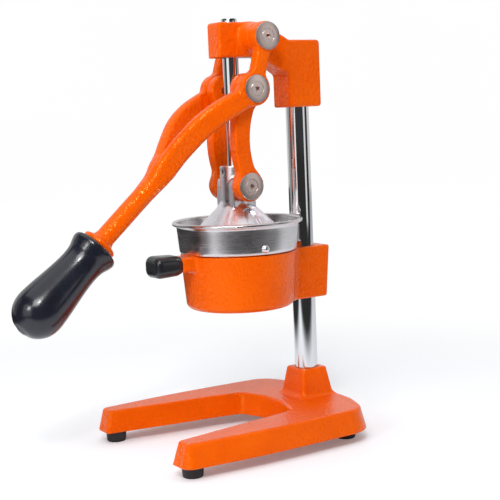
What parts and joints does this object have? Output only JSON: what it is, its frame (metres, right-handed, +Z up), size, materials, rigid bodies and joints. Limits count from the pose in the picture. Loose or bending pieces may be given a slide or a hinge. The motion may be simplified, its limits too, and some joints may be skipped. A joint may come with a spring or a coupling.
{
  "type": "lever citrus juice press",
  "caption": "Table-top lever citrus press with an orange cast base, head and forked lever, a chrome column, a steel strainer and black grips",
  "frame": {"origin": "middle of the overall box on the plane of the feet", "axes": "+X to the right of a person at the lever and along the pivots, +Y from the lever's grip towards the column, +Z up"},
  "size_m": [0.19, 0.33, 0.3996],
  "materials": {
    "orange_enamel": "glossy orange coat over cast metal, with a light orange-peel texture",
    "chrome_plate": "mirror-bright plating on turned bar",
    "machined_steel": "turned and satin",
    "stainless_sheet": "spun sheet, lightly polished",
    "cast_aluminium": "polished casting",
    "black_rubber": "matte moulded rubber",
    "black_plastic": "glossy moulded grip"
  },
  "bodies": {
    "stand": {"base_casting": "orange_enamel", "rubber_feet": "black_rubber", "foot_screws": "machined_steel", "column": "chrome_plate", "column_bolt": "machined_steel", "column_washer": "machined_steel", "head_casting": "orange_enamel", "head_set_screws": "machined_steel", "top_pivot_sleeves": "machined_steel", "top_pivot_washers": "machined_steel", "top_pivot_screws": "machined_steel", "holder_casting": "orange_enamel", "holder_set_screw": "machined_steel", "holder_grip": "black_rubber", "strainer_cup": "stainless_sheet", "strainer_pegs": "machined_steel", "reamer_cone": "cast_aluminium"},
    "lever": {"lever_casting": "orange_enamel", "lever_grip": "black_plastic", "mid_pivot_sleeves": "machined_steel", "mid_pivot_washers": "machined_steel", "mid_pivot_screws": "machined_steel"},
    "links": {"right_link": "orange_enamel", "left_link": "orange_enamel", "low_pivot_sleeves": "machined_steel", "low_pivot_washers": "machined_steel", "low_pivot_screws": "machined_steel"},
    "press": {"press_cup": "cast_aluminium", "guide_rod": "chrome_plate", "rod_set_screw": "machined_steel"}
  },
  "joints": [
    {"name": "lever_pivot", "type": "hinge", "parent": "stand", "child": "lever", "pos_m": [0, 0.0806, 0.3812], "axis": [-1, 0, 0], "range_deg": [0, 90]},
    {"name": "link_pivot", "type": "hinge", "parent": "lever", "child": "links", "pos_m": [0, 0.0668, 0.3337], "axis": [1, 0, 0], "range_deg": [0, 112]},
    {"name": "press_slide", "type": "slide", "parent": "stand", "child": "press", "axis": [0, 0, 1], "range_m": [0, 0.0668]}
  ],
  "couplings": [
    {"joint": "link_pivot", "follows": "lever_pivot", "ratio": 1.2442},
    {"joint": "press_slide", "follows": "lever_pivot", "m_per_rad": 0.0425}
  ]
}
